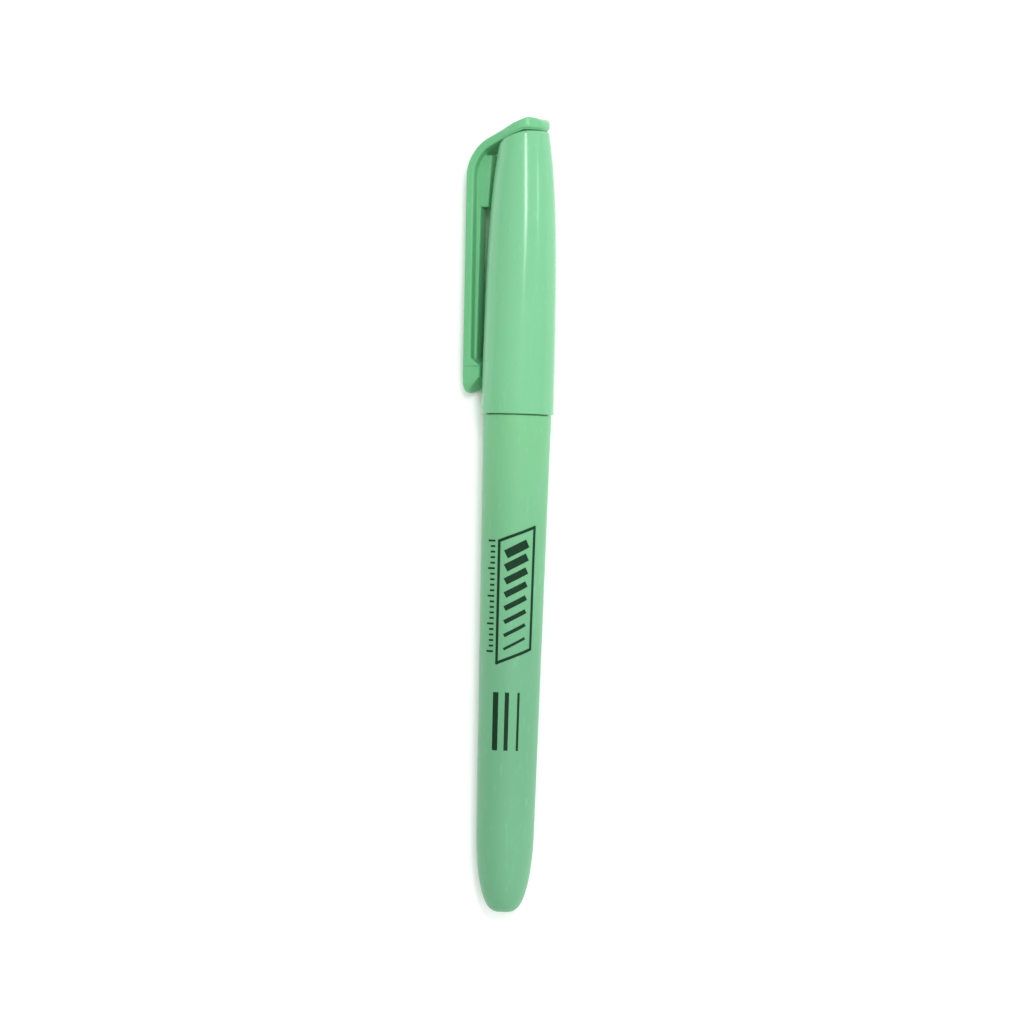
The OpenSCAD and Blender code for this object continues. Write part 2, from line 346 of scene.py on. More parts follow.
def surface_net(distance, low, high, step):
    """Points and quads of the surface where distance(u, w, z) is zero, one point in each cell."""
    low = np.array(low, float)
    count = np.ceil((np.array(high) - low) / step).astype(int) + 1
    axes = [low[k] + step * np.arange(count[k]) for k in range(3)]
    field = distance(axes[0][:, None, None], axes[1][None, :, None], axes[2][None, None, :])
    cells = count - 1
    total = np.zeros((*cells, 3))
    hits = np.zeros(cells)
    for a, b, c in np.ndindex(2, 2, 2):
        here = field[a : a + cells[0], b : b + cells[1], c : c + cells[2]]
        for k in range(3):
            if (a, b, c)[k]:
                continue
            p, q, r = [v + (i == k) for i, v in enumerate((a, b, c))]
            there = field[p : p + cells[0], q : q + cells[1], r : r + cells[2]]
            crossed = (here < 0) != (there < 0)
            share = np.where(crossed, here / np.where(crossed, here - there, 1), 0)
            for i in range(3):
                total[..., i] += crossed * ((a, b, c)[i] + share * (i == k))
            hits += crossed
    where = np.argwhere(hits > 0)
    picked = tuple(where.T)
    points = low + step * (where + total[picked] / hits[picked][:, None])
    number = np.zeros(cells, int)
    number[picked] = np.arange(len(where))
    inside = field < 0
    faces = []
    for k in range(3):
        e, f = np.eye(3, dtype=int)[(k + 1) % 3], np.eye(3, dtype=int)[(k + 2) % 3]
        ahead = np.roll(inside, -1, axis=k)
        starts = np.argwhere(inside != ahead)
        quads = np.stack([number[tuple((starts - s).T)] for s in (0 * e, e, e + f, f)], axis=1)
        outward = inside[tuple(starts.T)]
        quads[~outward] = quads[~outward][:, ::-1]
        faces += quads.tolist()
    return points, faces


def slopes(distance, points):
    """Direction in which distance() grows at each point."""
    eps = 0.01
    grown = []
    for k in range(3):
        shift = eps * np.eye(3)[k]
        ahead, behind = (points + shift).T, (points - shift).T
        grown.append((distance(*ahead) - distance(*behind)) / (2 * eps))
    return np.stack(grown, axis=1)


def settle(distance, points):
    """Moves points onto the surface where distance() is zero."""
    for _ in range(3):
        slope = slopes(distance, points)
        steepness = np.maximum((slope**2).sum(1), 0.25)
        points = points - slope * (distance(*points.T) / steepness)[:, None]
    return points


# ---------------------------------------------------------------- materials
def add(tree, kind, inputs=None, **settings):
    """Adds a shader node; an input is a value or another node's output socket."""
    made = tree.nodes.new(kind)
    for key, value in settings.items():
        setattr(made, key, value)
    for key, value in (inputs or {}).items():
        if isinstance(value, bpy.types.NodeSocket):
            tree.links.new(value, made.inputs[key])
        else:
            made.inputs[key].default_value = value
    return made


def ramp(tree, source, stops):
    """A colour ramp through (position, colour) stops."""
    made = add(tree, "ShaderNodeValToRGB", {"Fac": source})
    elements = made.color_ramp.elements
    while len(elements) < len(stops):
        elements.new(0.5)
    for element, (position, colour) in zip(elements, stops):
        element.position = position
        element.color = (*colour, 1)
    return made.outputs["Color"]


def noise(tree, scale, detail, stretch=(1, 1, 1)):
    """Noise over the object, scale in cells per metre and stretched along the row's axes."""
    place = add(tree, "ShaderNodeTexCoord").outputs["Object"]
    mapped = add(tree, "ShaderNodeMapping", {"Vector": place, "Scale": stretch})
    made = add(tree, "ShaderNodeTexNoise", {"Vector": mapped.outputs[0], "Scale": scale, "Detail": detail})
    return made.outputs["Fac"]


def spread(tree, source, low, high):
    """Maps noise, which stays near 0.5, onto low to high."""
    made = add(tree, "ShaderNodeMapRange", {"Value": source, "From Min": 0.3, "From Max": 0.7,
                                            "To Min": low, "To Max": high})
    return made.outputs["Result"]


def bumped(tree, source, height, below=None):
    """A bump of the given height in metres, on top of the bump below if there is one."""
    inputs = {"Height": source, "Distance": height, "Strength": 1.0}
    if below:
        inputs["Normal"] = below
    return add(tree, "ShaderNodeBump", inputs).outputs["Normal"]


def new_material(name):
    """A new material, its node tree and its shader."""
    material = bpy.data.materials.new(name)
    material.use_nodes = True
    tree = material.node_tree
    return material, tree, tree.nodes["Principled BSDF"]


def linear(red, green, blue):
    """An sRGB colour from 0 to 255 as linear light."""
    return [((c / 255 + 0.055) / 1.055) ** 2.4 for c in (red, green, blue)]


def blended(tree, factor, first, second, how="MIX"):
    """Mixes two colour sockets."""
    made = add(tree, "ShaderNodeMix", {0: factor, 6: first, 7: second}, data_type="RGBA", blend_type=how)
    return made.outputs[2]


def moulded(name, base, deep, pale, rough, grain, glow, tail_darkening=0):
    """Moulded plastic: pigment clouds, paler rubbed patches, faint flow lines and a fine grain.

    The last argument sets how far the wall darkens towards the tail.
    """
    material, tree, shader = new_material(name)
    clouds = ramp(tree, noise(tree, 90, 4, (0.35, 1, 1)), [(0.3, deep), (0.55, base), (0.8, base)])
    if tail_darkening:
        # darker towards the tail: none at the cap's mouth, full from 45 mm up the pen down to the tail
        place = add(tree, "ShaderNodeTexCoord").outputs["Object"]
        along = add(tree, "ShaderNodeSeparateXYZ", {0: place}).outputs["X"]
        z_full_shade = 45
        mouth_x, darkest_x = TAIL.x - Z_MOUTH * MM, TAIL.x - z_full_shade * MM
        share = add(tree, "ShaderNodeMapRange", {"Value": along, "From Min": mouth_x, "From Max": darkest_x,
                                                 "To Min": 0, "To Max": tail_darkening}).outputs["Result"]
        clouds = blended(tree, share, clouds, (0.84, 0.8, 0.9, 1), "MULTIPLY")
    rubs = noise(tree, 1600, 5, (0.25, 1, 1))
    worn = add(tree, "ShaderNodeMapRange", {"Value": rubs, "From Min": 0.58, "From Max": 0.72,
                                            "To Min": 0, "To Max": 0.14})
    colour = blended(tree, worn.outputs["Result"], clouds, (*pale, 1))
    tree.links.new(colour, shader.inputs["Base Color"])
    scuffs = spread(tree, noise(tree, 700, 5, (0.2, 1, 1)), rough * 0.85, rough * 1.2)
    tree.links.new(scuffs, shader.inputs["Roughness"])
    flow = bumped(tree, noise(tree, 220, 3, (0.08, 1, 1)), 4e-6)
    fine = bumped(tree, noise(tree, 9000, 2), grain, below=flow)
    tree.links.new(fine, shader.inputs["Normal"])
    shader.inputs["IOR"].default_value = 1.49
    shader.inputs["Specular IOR Level"].default_value = 0.32
    shader.inputs["Subsurface Weight"].default_value = glow
    shader.inputs["Subsurface Radius"].default_value = (0.6, 1.0, 0.7)
    shader.inputs["Subsurface Scale"].default_value = 0.0012
    return material


def fibres(name, base, deep, rough, scale, height):
    """Bonded fibre: streaks along the pen with small gaps between them."""
    material, tree, shader = new_material(name)
    streaks = noise(tree, scale, 4, (0.06, 1, 1))
    tree.links.new(ramp(tree, streaks, [(0.35, deep), (0.6, base)]), shader.inputs["Base Color"])
    tree.links.new(spread(tree, streaks, rough, rough * 0.8), shader.inputs["Roughness"])
    pores = bumped(tree, noise(tree, scale * 2.5, 3, (0.2, 1, 1)), height)
    tree.links.new(bumped(tree, streaks, height, below=pores), shader.inputs["Normal"])
    shader.inputs["Sheen Weight"].default_value = 0.25
    return material


def wrap_film():
    """Thin clear wrap with faint wrinkles."""
    material, tree, shader = new_material("reservoir_wrap")
    clouds = noise(tree, 500, 3, (0.3, 1, 1))
    haze = ramp(tree, clouds, [(0.3, (0.86, 0.9, 0.86)), (0.7, (0.97, 0.98, 0.96))])
    tree.links.new(haze, shader.inputs["Base Color"])
    tree.links.new(spread(tree, noise(tree, 900, 3), 0.12, 0.28), shader.inputs["Roughness"])
    tree.links.new(bumped(tree, noise(tree, 600, 4, (0.3, 1, 1)), 2e-5), shader.inputs["Normal"])
    shader.inputs["Transmission Weight"].default_value = 0.55
    return material


def print_ink():
    """Pad-printed dark green ink, slightly uneven where it lies thin."""
    material, tree, shader = new_material("print_ink")
    body = ramp(tree, noise(tree, 2600, 4), [(0.3, (0.002, 0.024, 0.008)), (0.75, (0.006, 0.045, 0.016))])
    tree.links.new(body, shader.inputs["Base Color"])
    tree.links.new(spread(tree, noise(tree, 4000, 3), 0.38, 0.6), shader.inputs["Roughness"])
    tree.links.new(bumped(tree, noise(tree, 5000, 2), 2e-6), shader.inputs["Normal"])
    shader.inputs["Specular IOR Level"].default_value = 0.15
    return material


# plastics, as linear light: the clip is a deeper green than the cap as painted shade, for the shade and
# green bounce light on the clip, and the satin barrel lies between
GREEN = (0.196, 0.535, 0.28)
GREEN_DEEP = (0.182, 0.512, 0.262)
GREEN_PALE = (0.3, 0.7, 0.4)
# painted shade: the clip's two greens are darker copies of the cap's greens
CLIP_SHADED_GREEN = (0.166, 0.51, 0.245)
CLIP_SHADED_GREEN_DEEP = (0.152, 0.488, 0.228)
SATIN = (0.185, 0.515, 0.249)
SATIN_DEEP = (0.172, 0.494, 0.235)
CAP_PLASTIC = moulded("cap_plastic", GREEN, GREEN_DEEP, GREEN_PALE, 0.16, 4e-7, 0.15)
CLIP_SHADED_PLASTIC = moulded("clip_shaded_plastic", CLIP_SHADED_GREEN, CLIP_SHADED_GREEN_DEEP, GREEN_PALE, 0.2, 4e-7, 0.15)
# the barrel darkens towards the tail
BARREL_PLASTIC = moulded("barrel_plastic", SATIN, SATIN_DEEP, GREEN_PALE, 0.42, 1.2e-6, 0.15, 1)
HOLDER_PLASTIC = moulded("holder_plastic", GREEN, GREEN_DEEP, GREEN_PALE, 0.25, 6e-7, 0.15)
INNER_PLASTIC = moulded("inner_cap_plastic", linear(238, 240, 234), linear(228, 232, 224),
                        linear(246, 247, 243), 0.38, 1e-6, 0.3)
FELT = fibres("nib_felt", linear(118, 205, 132), linear(76, 172, 102), 0.85, 5200, 3e-5)
CORE = fibres("reservoir_fibre", linear(214, 234, 196), linear(168, 208, 148), 0.8, 4200, 3e-5)
WRAP = wrap_film()
INK = print_ink()


# ---------------------------------------------------------------- the barrel
def barrel():
    """Long tube: round tail with a gate mark, neck with a snap bead, bore with ribs and a floor."""
    tail_steps = 26
    bore_r = BORE_MOUTH_R - 0.02
    rib_r = FILM_R + FIT
    z_plug_end = Z_NECK_END - PLUG_DEPTH - 0.5
    z_ribs_end = Z_NECK_END - PLUG_DEPTH - 12.5
    gate = [(0, 0.3), (0.42, 0.3), (0.5, 0.12), (0.78, 0.12), (0.9, 0)]
    curve = [TAIL_LEN * (i / tail_steps) ** 2 for i in range(tail_steps + 1)]
    straight = [TAIL_LEN + (Z_SHOULDER - TAIL_LEN) * i / 24 for i in range(1, 24)]
    outer = [(barrel_radius(z), z) for z in curve + straight]
    neck = rounded([
        outer[-1],
        (BARREL_R, Z_SHOULDER, 0.12), (NECK_R, Z_SHOULDER, 0.08), (NECK_R, Z_BEAD - 0.6, 0.15),
        (BEAD_R, Z_BEAD - 0.25, 0.2), (BEAD_R, Z_BEAD + 0.25, 0.2), (NECK_R, Z_BEAD + 0.6, 0.15),
        (NECK_R, Z_NECK_END, 0.1), (PLUG_BORE_R, Z_NECK_END, 0.08),
        (PLUG_BORE_R, z_plug_end, 0.05), (BORE_MOUTH_R, z_plug_end, 0.05),
        (BORE_TAIL_R, BARREL_FLOOR),
    ])[1:-1]

    def section(angle):
        on_rib = near_spoke(angle, 4, 45, 4.8)
        on_foot = near_spoke(angle, 4, 0, 4.6)
        bore_top = rib_r if on_rib else bore_r
        bore_foot = rib_r if on_rib else BORE_TAIL_R
        floor = Z_CORE_FOOT if on_foot else BARREL_FLOOR
        inside = [
            (bore_r, z_ribs_end + 0.05), (bore_top, z_ribs_end),
            (bore_foot, Z_CORE_FOOT), (bore_foot, floor),
            (1.5, floor), (1.5, BARREL_FLOOR), (0, BARREL_FLOOR),
        ]
        return gate + outer + neck + inside

    piece("barrel_body", turned(section, closed=False), BARREL_PLASTIC, "pen", ["barrel"])


# ---------------------------------------------------------------- the writing end
def nib_holder():
    """Front section: plug, flange, seal seat, cone and nose, with three air grooves in its bore."""
    hollow_end = Z_CORE_END + 0.4
    hollow_r = FILM_R + 0.12
    plug_r = PLUG_BORE_R - FIT
    flange_r = NECK_R - FIT

    def section(angle):
        groove = 0.3 if near_spoke(angle, 3, 0, 8.6) else 0
        bore_r = HOLDER_BORE_R + groove
        return rounded([
            (hollow_r, Z_HOLDER_FOOT), (plug_r - 0.2, Z_HOLDER_FOOT, 0.1),
            (plug_r, Z_HOLDER_FOOT + 0.6, 0.3), (plug_r, Z_NECK_END, 0.05),
            (flange_r, Z_NECK_END, 0.05), (flange_r, Z_NECK_END + 1.2, 0.18),
            (HOLDER_SEAL_R, Z_NECK_END + 1.2, 0.15), (HOLDER_SEAL_R, Z_NECK_END + 4.4, 0.3),
            (HOLDER_CONE_R, Z_NECK_END + 5.4, 0.5), (HOLDER_TIP_R, Z_HOLDER_TIP, 0.35),
            (bore_r, Z_HOLDER_TIP, 0.12), (bore_r, hollow_end), (hollow_r, hollow_end),
        ])

    piece("nib_holder_body", turned(section), HOLDER_PLASTIC, "pen", ["nib_holder"])


def nib():
    """Bonded-fibre nib: a round stem that flattens to a chisel, cut on the slant."""
    edge = 0.28
    z_wedge = Z_NIB_TIP - NIB_CHISEL_LEN
    flat_cosine = 0.95  # about the cosine of the angle between the chisel's flats and the axis
    low_u, high_u = NIB_R, 0.5 - NIB_R
    lean = NIB_SLANT / (low_u - high_u)

    def stem_distance(u, w, z):
        share = np.clip((z - z_wedge) / NIB_CHISEL_LEN, 0, 1.2)
        half = NIB_R + 0.3 - (NIB_R + 0.3 - NIB_EDGE / 2) * share
        flat = (np.abs(w) - half) * flat_cosine
        slanted = (z - Z_NIB_TIP + lean * (u - high_u)) / math.hypot(1, lean)
        level = z - Z_NIB_TIP
        tip = both(slanted, level, edge)
        return both(both(both(np.hypot(u, w) - NIB_R, flat, edge), tip, edge), Z_NIB_FOOT - z, 0.15)

    low = (-NIB_R - 0.3, -NIB_R - 0.3, Z_NIB_FOOT - 0.3)
    high = (NIB_R + 0.3, NIB_R + 0.3, Z_NIB_TIP + 0.3)
    points, faces = surface_net(stem_distance, low, high, 0.16)
    points = settle(stem_distance, points)
    piece("nib_felt_tip", (points, faces), FELT, "pen", ["nib"], sharp=60)


def reservoir():
    """Fibre core: slightly uneven round bundle with the hole that the nib's stem was pushed into."""
    hole = NIB_R + FIT
    length = Z_CORE_END - Z_CORE_FOOT
    ridges = 40
    most_swell = 0.02  # taken off first, so that the core stays inside its CAD shape

    def section(angle):
        swell = 0.012 * math.sin(7 * angle) + 0.008 * math.sin(19 * angle + 1)
        r = CORE_R - most_swell + swell
        rows = [(r - 0.01 * (i % 2), Z_CORE_FOOT + length * i / ridges) for i in range(1, ridges)]
        outline = [(0, Z_CORE_FOOT), (r, Z_CORE_FOOT, 0.25), *rows, (r, Z_CORE_END, 0.25),
                   (hole, Z_CORE_END, 0.15), (hole, Z_NIB_FOOT, 0.1), (0, Z_NIB_FOOT)]
        return rounded(outline)

    shape = turned(section, 144, closed=False)
    piece("reservoir_core", shape, CORE, "pen", ["reservoir"])


def reservoir_film():
    """Plastic wrap round the core: a rolled sheet whose edges almost meet."""
    wall = 0.08
    inner = FILM_R - wall
    turns = [math.radians(2 + 358 * i / 120) for i in range(121)]
    sheet = [(inner, a) for a in turns] + [(inner + wall, a) for a in reversed(turns)]
    lengths = [Z_FILM_FOOT + (Z_FILM_END - Z_FILM_FOOT) * i / 30 for i in range(31)]
    rings = [[(r * math.cos(a), r * math.sin(a), z) for r, a in sheet] for z in lengths]
    points, faces = skin(rings)
    faces += end_faces(0, len(points) - len(sheet), len(sheet))
    piece("reservoir_wrap_film", (points, faces), WRAP, "pen", ["reservoir_film"])


# ---------------------------------------------------------------- the cap
def inner_cap():
    """Sealing cup: a flared lip, a slim body and a closed end."""
    end_wall = 0.9
    z_lip_end = Z_INNER_LIP + 3.4
    lip_bore = HOLDER_SEAL_R + 0.05
    outline = rounded([
        (0, Z_INNER_END - end_wall), (INNER_BORE_R, Z_INNER_END - end_wall, 0.35),
        (INNER_BORE_R, z_lip_end + 0.8, 0.4), (lip_bore, z_lip_end - 0.5, 0.4),
        (lip_bore, Z_INNER_LIP + 0.35, 0.2), (lip_bore + 0.18, Z_INNER_LIP, 0.06),
        (INNER_LIP_R, Z_INNER_LIP, 0.12), (INNER_LIP_R, z_lip_end, 0.5),
        (INNER_CAP_R, z_lip_end + 2, 0.6), (INNER_CAP_R, Z_INNER_END, 0.5), (0, Z_INNER_END),
    ])
    outline.reverse()
    shape = turned(lambda angle: outline, 144, closed=False)
    piece("inner_cap_cup", shape, INNER_PLASTIC, "inner_cap", ["inner_cap"])


def cap():
    """Bullet-shaped cap: slanted top edge, socket for the clip, ribs and a snap groove inside."""
    wall_steps = 40
    rib_low, rib_high = Z_SEAT_END + 2.2, Z_INNER_END

    def section(angle):
        edge_z = Z_CAP_TOP
        for _ in range(12):
            edge_z = cap_top(cap_radius(edge_z) * math.cos(angle))
        rise = edge_z - 0.6 - Z_MOUTH
        wall = [Z_MOUTH + rise * (i / wall_steps) ** 0.7 for i in range(1, wall_steps + 1)]
        rib = CAP_RIB_R if near_spoke(angle, 6, 0, 5.1) else 0
        ceiling = min(Z_CEILING, edge_z - 1.6)
        lining = [ceiling - (ceiling - rib_high) * i / 6 for i in range(7)]
        lower = [rib_low - (rib_low - Z_SEAT_END) * i / 2 for i in range(3)]

        def inner_r(z):
            return cap_radius(z) - CAP_WALL

        ribbed = [rib_high - (rib_high - rib_low) * i / 8 for i in range(9)]
        outline = [
            (SEAT_R + 0.2, Z_MOUTH, 0.05), (CAP_MOUTH_R, Z_MOUTH, 0.15),
            *[(cap_radius(z), z) for z in wall],
            (cap_radius(edge_z), edge_z, 0.45),
            (3.3, cap_top(3.3 * math.cos(angle))),
            (SOCKET_R, cap_top(SOCKET_R * math.cos(angle)), 0.1),
            (SOCKET_R, ceiling, 0.1),
            *[(inner_r(z), z) for z in lining],
            *[(rib or inner_r(z), z) for z in ribbed],
            *[(inner_r(z), z) for z in lower],
            (SEAT_R, Z_SEAT_END - 0.3, 0.1),
            (SEAT_R, Z_BEAD + 0.8), (GROOVE_R, Z_BEAD + 0.5),
            (GROOVE_R, Z_BEAD - 0.5), (SEAT_R, Z_BEAD - 0.8),
            (SEAT_R, Z_MOUTH + 0.3, 0.1),
        ]
        return rounded(outline)

    piece("cap_body", turned(section, 240), CAP_PLASTIC, "cap", ["cap_shell"])


# ---------------------------------------------------------------- the clip
def clip():
    """The clip moulding in one piece: roof, shoulder, strap, web, rib, boss, collar and plug."""
    bend = (REACH - SHOULDER_R, roof_top(REACH - SHOULDER_R) - SHOULDER_R / math.cos(ROOF_PITCH))
    strap_in = REACH - STRAP_T
    tip = (REACH - TIP_EDGE_R - STRAP_LEAN, Z_CLIP_TIP + TIP_EDGE_R)
    side = [
        *arc((CROWN_R - ROOF_R, PEN_LEN - CROWN_R), CROWN_R, 180, 100, 8),
        (CROWN_U, PEN_LEN),
        *arc(bend, SHOULDER_R, 90 - math.degrees(ROOF_PITCH), 0, 24),
        *arc(tip, TIP_EDGE_R, 0, -135, 10),
        (BOSS_IN, Z_CLIP_TIP + BOSS_FOOT),
        (BOSS_IN, Z_CLIP_TIP + 5),
        (strap_in - STRAP_LEAN, Z_CLIP_TIP + 6.2),
        *arc(bend, SHOULDER_R - STRAP_T, 0, 90 - math.degrees(ROOF_PITCH), 18),
        (CROWN_U + 0.6, roof_under(CROWN_U + 0.6)),
        (0.3 - ROOF_R, roof_under(CROWN_U + 0.6)),
    ]
    flare = ROOF_R - 0.25
    rib_in = strap_in - 0.79
    rib_end = Z_CLIP_TIP + 4.6
    plan = [
        (0, -flare), (strap_in, -STRAP_W / 2), (REACH + 1, -STRAP_W / 2),
        (REACH + 1, STRAP_W / 2), (strap_in, STRAP_W / 2), (0, flare),
    ]
    web = [
        (strap_in + 0.2, WEB_TOP), (WEB_IN, WEB_TOP), (WEB_IN + 0.5, WEB_END),
        (rib_in, WEB_END), (rib_in, rib_end), (strap_in + 0.2, rib_end),
    ]
    collar = [
        (-6, Z_CAP_TOP), (CAP_SLOPE_U, Z_CAP_TOP), (6, Z_CAP_TOP - (6 - CAP_SLOPE_U) * SLOPE),
        (6, roof_under(6) + 0.5), (CROWN_U + 0.6, roof_under(CROWN_U + 0.6) + 0.5),
        (-6, roof_under(CROWN_U + 0.6) + 0.5),
    ]
    plug_r = SOCKET_R - 0.03
    plug = [
        (-1, Z_CEILING - 1.2), (plug_r - 0.2, Z_CEILING - 1.2), (plug_r + 0.2, Z_CEILING - 0.1),
        (plug_r, Z_CEILING - 0.05), (plug_r, Z_CAP_TOP), (-1, Z_CAP_TOP),
    ]

    def distance(u, w, z):
        around = np.hypot(u, w)
        seen_above = either(around - ROOF_R, outline_distance(plan, u, w), 0.3)
        front = both(np.abs(w) - STRAP_W / 2, Z_CLIP_TIP - z, TIP_ROUND)
        tip_end = np.where(z < Z_CLIP_TIP + 2 * TIP_ROUND, front, Z_CLIP_TIP - z)
        slab = both(both(outline_distance(side, u, z), seen_above, EDGE), tip_end, EDGE)
        stiffener = both(outline_distance(web, u, z), np.abs(w) - RIB_W / 2, 0.22)
        grown = 0.26 * np.clip((u + 1) / 4, 0, 1) ** 2
        neck = both(around - COLLAR_R - grown, outline_distance(collar, u, z), 0.02)
        peg = outline_distance(plug, around, z) + 0 * u
        return either(either(either(slab, stiffener, 0.3), neck, 0.15), peg, 0.05)

    low = (-ROOF_R - 0.4, -ROOF_R - 0.4, Z_CLIP_TIP - 0.4)
    high = (REACH + 0.4, ROOF_R + 0.4, PEN_LEN + 0.4)
    points, faces = surface_net(distance, low, high, 0.15)
    points = settle(distance, points)
    obj = piece("clip_moulding", (points, faces), CLIP_SHADED_PLASTIC, None,
                ["clip_root", "clip_arm"], sharp=55)
    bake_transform(obj)


# ---------------------------------------------------------------- the print on the barrel
def on_barrel(across, z, lift):
    """A point on the barrel's wall; across is measured round it from the top of the lying pen."""
    r = barrel_radius(z) + lift
    angle = TOP_ANGLE + math.radians(across)
    return r * math.cos(angle), r * math.sin(angle), z


def stroke(path, width, shape):
    """Adds a closed ribbon of ink along a path of (degrees round, z) points to shape."""
    points, faces = shape
    across_steps = 4
    ink_lift, ink_depth = 0.018, 0.02
    scale = math.radians(1) * barrel_radius(path[0][1])
    flat = [Vector((a * scale, z)) for a, z in path]
    rings = []
    for i, here in enumerate(flat):
        back = (here - flat[i - 1]).normalized() if i else (flat[1] - here).normalized()
        ahead = (flat[i + 1] - here).normalized() if i + 1 < len(flat) else back
        along = (back + ahead).normalized()
        side = Vector((-along.y, along.x)) / max(0.5, along.dot(ahead))
        row = [here + side * width * (k / across_steps - 0.5) for k in range(across_steps + 1)]
        upper = [on_barrel(p.x / scale, p.y, ink_lift) for p in row]
        lower = [on_barrel(p.x / scale, p.y, -ink_depth) for p in reversed(row)]
        rings.append(upper + lower)
    made, quads = skin(rings)
    offset, count = len(points), len(rings[0])
    points += made
    faces += [tuple(offset + i for i in quad) for quad in quads]
    faces += end_faces(offset, offset + len(made) - count, count)


def line(start, end):
    """Points along a straight line on the barrel, about half a millimetre apart."""
    step = 0.5
    scale = math.radians(1) * BARREL_R
    length = math.hypot((end[0] - start[0]) * scale, end[1] - start[1])
    count = max(2, round(length / step))
    return [(start[0] + (end[0] - start[0]) * i / count, start[1] + (end[1] - start[1]) * i / count)
            for i in range(count + 1)]


def stretched(start, end, extra):
    """The ends of a line on the barrel, each moved outward by extra millimetres."""
    scale = math.radians(1) * BARREL_R
    share = extra / math.hypot((end[0] - start[0]) * scale, end[1] - start[1])
    step = Vector(end) - Vector(start)
    return Vector(start) - step * share, Vector(end) + step * share


def barrel_print():
    """Generic print: a slanted frame with slanted bars in it, a scale beside it, three lines below."""
    shape = ([], [])
    left, right = -26, 39
    low, high, slant = 43, 66.5, 2.5
    corners = [(left, low), (right, low + slant), (right, high), (left, high - slant)]
    rule = 0.5
    for a, b in zip(corners, corners[1:] + corners[:1]):
        stroke(line(*stretched(a, b, 0.4 * rule)), rule, shape)
    bars = 8
    for i in range(bars):
        z = low + 3.4 + (high - low - 7.2) * i / (bars - 1)
        stroke(line((left + 13, z - 1), (right - 13, z + 1)), 0.45 + 0.15 * i, shape)
    ticks = 20
    scale_a, scale_z, tick_gap = -34, 45, 0.95
    for i in range(ticks + 1):
        z = scale_z + i * tick_gap
        reach = 16 if i % 5 == 0 else 10
        stroke(line((scale_a - reach, z), (scale_a, z)), 0.34, shape)
    lines_low, lines_high = 28, 38
    for row, width in enumerate((0.4, 0.7, 1.0)):
        a = 18 - row * 22
        stroke(line((a, lines_low), (a, lines_high)), width, shape)
    piece("barrel_print", shape, INK, "pen")


# ---------------------------------------------------------------- stage, light and camera
def stage():
    """Pale floor, tilted to pass under the cap's rim and under the CAD clip's shoulder.

    The tail is 0.1 mm above it and the clip's tip reaches 0.2 mm below it. The paper glows a little
    in the open, and the glow fades near the pen as a painted shadow. In narrow gaps the paper is darkened
    and tinted green as painted shade and painted green light, where the pen would throw green light on it.
    """
    z_shoulder_low = 125  # where the CAD clip's shoulder is lowest
    half = 1.6
    touch = PLACE @ Vector((0, 0, z_shoulder_low))
    rim = PLACE @ Vector((0, 0, Z_MOUTH))
    rise = (rim.z - CAP_MOUTH_R * MM) / (rim.x - touch.x)
    plan = [(-half, -half), (half, -half), (half, half), (-half, half)]
    corners = [(x, y, (x - touch.x) * rise) for x, y in plan]
    mesh = bpy.data.meshes.new("floor")
    mesh.from_pydata(corners, [], [(0, 1, 2, 3)])
    material, tree, shader = new_material("floor_paper")
    tone = ramp(tree, noise(tree, 30, 3), [(0.3, (0.88, 0.88, 0.87)), (0.7, (0.9, 0.9, 0.89))])
    # painted shade: where the pen crowds the paper, its colour is darkened and tinted green, standing in
    # for shadow and green light bounced off the pen
    widest_gap = 0.006
    openness = add(tree, "ShaderNodeAmbientOcclusion", {"Distance": widest_gap}, samples=8).outputs["AO"]
    shade = ramp(tree, openness, [(0.05, (0.2, 0.62, 0.32)), (0.35, (1, 1, 1))])
    tree.links.new(blended(tree, 1.0, tone, shade, "MULTIPLY"), shader.inputs["Base Color"])
    shader.inputs["Roughness"].default_value = 0.9
    shader.inputs["Specular IOR Level"].default_value = 0.1
    # painted light: the paper glows in the open, and the glow fading near the pen paints a shadow round it
    shader.inputs["Emission Color"].default_value = (1, 1, 1, 1)
    glow = add(tree, "ShaderNodeMapRange", {"Value": openness, "From Min": 0.35, "From Max": 0.8,
                                            "To Min": 0, "To Max": 0.28})
    tree.links.new(glow.outputs["Result"], shader.inputs["Emission Strength"])
    mesh.materials.append(material)
    floor = bpy.data.objects.new("floor", mesh)
    bpy.context.scene.collection.objects.link(floor)


def lamp(name, place, target, width, along, power):
    """A rectangular area light facing target; along is its length, as a vector in the row's axes."""
    data = bpy.data.lights.new(name, "AREA")
    data.shape = "RECTANGLE"
    data.size = width
    data.size_y = along.length
    data.energy = power
    obj = bpy.data.objects.new(name, data)
    bpy.context.scene.collection.objects.link(obj)
    back = (place - target).normalized()
    side = along.cross(back).normalized()
    turn = Matrix((side, back.cross(side), back)).transposed().to_4x4()
    obj.matrix_world = Matrix.Translation(place) @ turn


def glint(z, across, distance):
    """Where a light has to be for the cap to mirror it into the camera at (z, across)."""
    angle = TOP_ANGLE + math.radians(across)
    r = cap_radius(z)
    taper = (cap_radius(z + 0.1) - cap_radius(z - 0.1)) / 0.2
    normal = Vector((math.cos(angle), math.sin(angle), -taper)).normalized()
    spot = PLACE @ Vector((r * math.cos(angle), r * math.sin(angle), z))
    out = (TURN.to_3x3() @ normal).normalized()
    sight = (bpy.context.scene.camera.matrix_world.translation - spot).normalized()
    return spot + (2 * out.dot(sight) * out - sight) * distance


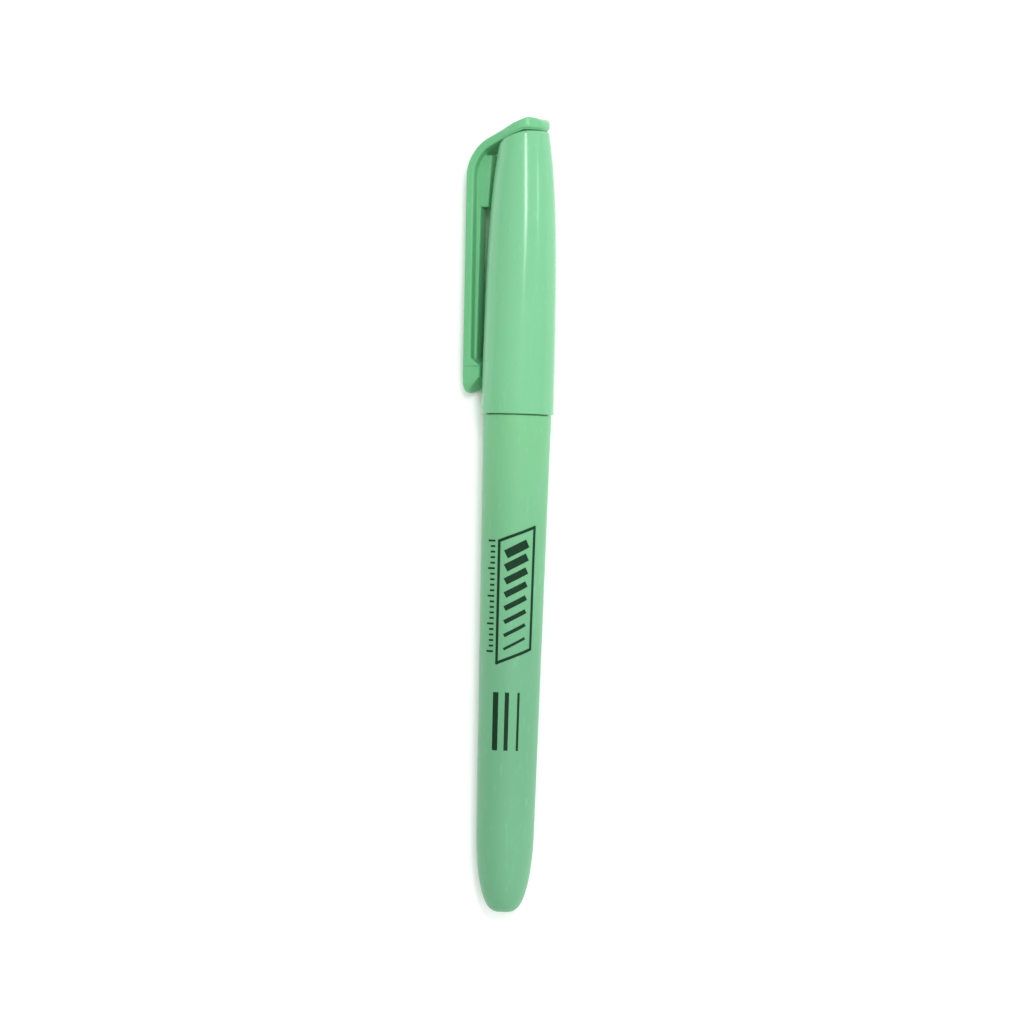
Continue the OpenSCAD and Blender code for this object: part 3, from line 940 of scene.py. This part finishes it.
def light():
    """Room light, brightest a little to one side of overhead, and two lamps mirrored in the cap."""
    world = bpy.data.worlds.new("studio")
    bpy.context.scene.world = world
    world.use_nodes = True
    tree = world.node_tree
    direction = add(tree, "ShaderNodeTexCoord").outputs["Generated"]
    bright = Vector((-0.15, 0.32, 0.93)).normalized()
    facing = add(tree, "ShaderNodeVectorMath", {0: direction, 1: bright}, operation="DOT_PRODUCT")
    level = add(tree, "ShaderNodeMapRange", {"Value": facing.outputs["Value"],
                                             "From Min": -1, "From Max": 1})
    below, beside, above = (0.21, 0.205, 0.18), (0.59, 0.6, 0.58), (1.24, 1.27, 1.31)
    tint = ramp(tree, level.outputs[0], [(0.3, below), (0.65, beside), (1.0, above)])
    tree.links.new(tint, tree.nodes["Background"].inputs["Color"])
    tree.nodes["Background"].inputs["Strength"].default_value = 1.0
    centre = PLACE @ Vector((0, 0, Z_MOUTH))
    far = 0.7
    # name, ends of the reflection in the cap as (z, degrees round), width in metres, power in watts
    lamps = [
        ("tube", (115, 6), (135, 0), 0.08, 1.6),
        ("window", (118, 26.7), (129, 27), 0.05, 0.2),
    ]
    for name, low, high, width, power in lamps:
        first, last = glint(*low, far), glint(*high, far)
        lamp(name, (first + last) / 2, centre, width, last - first, power)


def camera():
    """Looks straight down at the pen, whose cap leans a little to the right in the picture."""
    lean = math.radians(1.67)
    frame_width = 0.17691  # metres across the view, at the height of the pen's axis
    distance = 0.8
    shift_up, shift_left = 0.5, 0.42  # millimetres from the pen's middle to the view's middle
    middle = PLACE @ Vector((0, 0, PEN_LEN / 2 + shift_up))
    middle.y -= shift_left * MM
    data = bpy.data.cameras.new("camera")
    data.sensor_width = 36
    data.lens = data.sensor_width * distance / frame_width
    data.clip_end = 10
    obj = bpy.data.objects.new("camera", data)
    bpy.context.scene.collection.objects.link(obj)
    right = Vector((-math.sin(lean), math.cos(lean), 0))
    up = Vector((-math.cos(lean), -math.sin(lean), 0))
    turn = Matrix((right, up, Vector((0, 0, 1)))).transposed().to_4x4()
    obj.matrix_world = Matrix.Translation(middle + Vector((0, 0, distance))) @ turn
    bpy.context.scene.camera = obj


camera()
barrel()
nib_holder()
nib()
reservoir()
reservoir_film()
inner_cap()
cap()
clip()
barrel_print()
stage()
light()
bpy.context.scene.view_settings.view_transform = "Standard"
